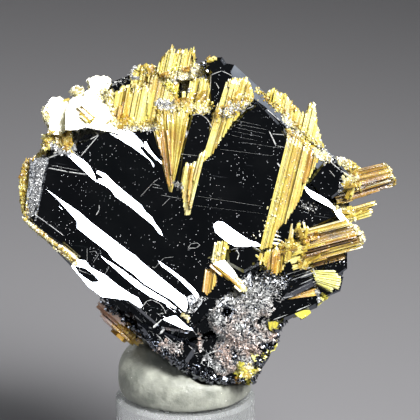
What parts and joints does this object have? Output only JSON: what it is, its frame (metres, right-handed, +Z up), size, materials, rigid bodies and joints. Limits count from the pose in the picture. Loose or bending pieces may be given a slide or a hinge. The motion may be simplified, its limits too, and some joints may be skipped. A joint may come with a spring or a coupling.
{
  "type": "rutile with hematite specimen",
  "caption": "Black mirror-bright hematite crystal with sprays of golden rutile needles and a silvery druse, pressed into putty on a short clear display rod.",
  "frame": {"origin": "centre of the display rod's round foot, on the surface that the object stands on", "axes": "+Z up along the rod, +X to the right as the specimen's front is seen, front of the specimen facing -Y and leaning back 18 degrees"},
  "size_m": [0.0341, 0.0172, 0.0473],
  "materials": {
    "hematite": "mirror-bright metallic black crystal faces",
    "druse": "sparkling silver-grey crust of tiny crystals",
    "rutile": "glassy golden needles with streaks along them",
    "tack": "soft grey-white putty, slightly translucent",
    "rod": "clear cast acrylic, polished"
  },
  "bodies": {
    "root": {"hematite_crystal": "hematite", "hematite_druse": "druse", "rutile_crown": "rutile", "rutile_fan": "rutile", "rutile_band": "rutile", "rutile_crest": "rutile", "rutile_rods_upper": "rutile", "rutile_rods_middle": "rutile", "rutile_rods_lower": "rutile", "rutile_blades_front": "rutile", "rutile_stubs": "rutile", "rutile_cluster": "rutile", "rutile_rim": "rutile", "rutile_slab": "rutile", "rutile_back_steep": "rutile", "rutile_back_shallow": "rutile", "rutile_back_falling": "rutile", "rutile_shard_1": "rutile", "rutile_shard_2": "rutile", "rutile_shard_3": "rutile", "rutile_shard_4": "rutile", "rutile_shard_5": "rutile", "rutile_shard_6": "rutile", "rutile_shard_7": "rutile", "mineral_tack": "tack", "display_rod": "rod"}
  },
  "joints": []
}
